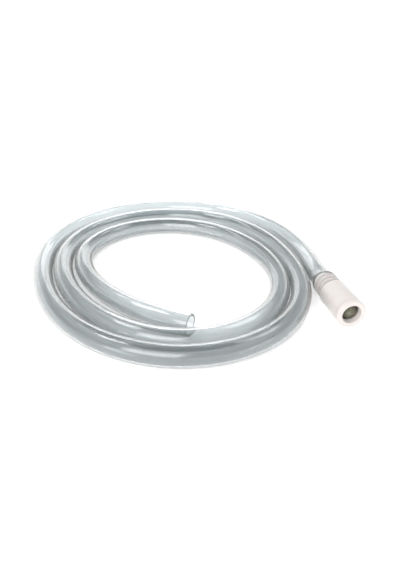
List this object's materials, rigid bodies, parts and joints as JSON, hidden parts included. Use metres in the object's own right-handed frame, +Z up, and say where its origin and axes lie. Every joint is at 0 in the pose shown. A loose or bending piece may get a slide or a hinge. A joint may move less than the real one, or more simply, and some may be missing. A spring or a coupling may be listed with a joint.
{
  "type": "self-priming siphon",
  "caption": "Clear flexible siphon hose lying in a loose flat coil, with a white barbed foot valve that holds a loose glass check ball.",
  "frame": {"origin": "on the ground under the middle of the foot valve, which lies on its side", "axes": "+Z up, -Y along the valve's axis out of its inlet, +Y from the valve into the hose; the coil lies towards -X"},
  "size_m": [0.2462, 0.2888, 0.0218],
  "materials": {
    "white_plastic": "satin moulded plastic",
    "clear_pvc": "clear glossy flexible PVC",
    "olive_glass": "polished dark glass"
  },
  "bodies": {
    "siphon": {"nose_cap": "white_plastic", "valve_body": "white_plastic", "ball_stop": "white_plastic", "hose_cuff": "clear_pvc", "hose": "clear_pvc"},
    "ball": {"check_ball": "olive_glass"}
  },
  "joints": [
    {"name": "ball_travel", "type": "slide", "parent": "siphon", "child": "ball", "axis": [0, 1, 0], "range_m": [-0.0013, 0.0113]}
  ]
}
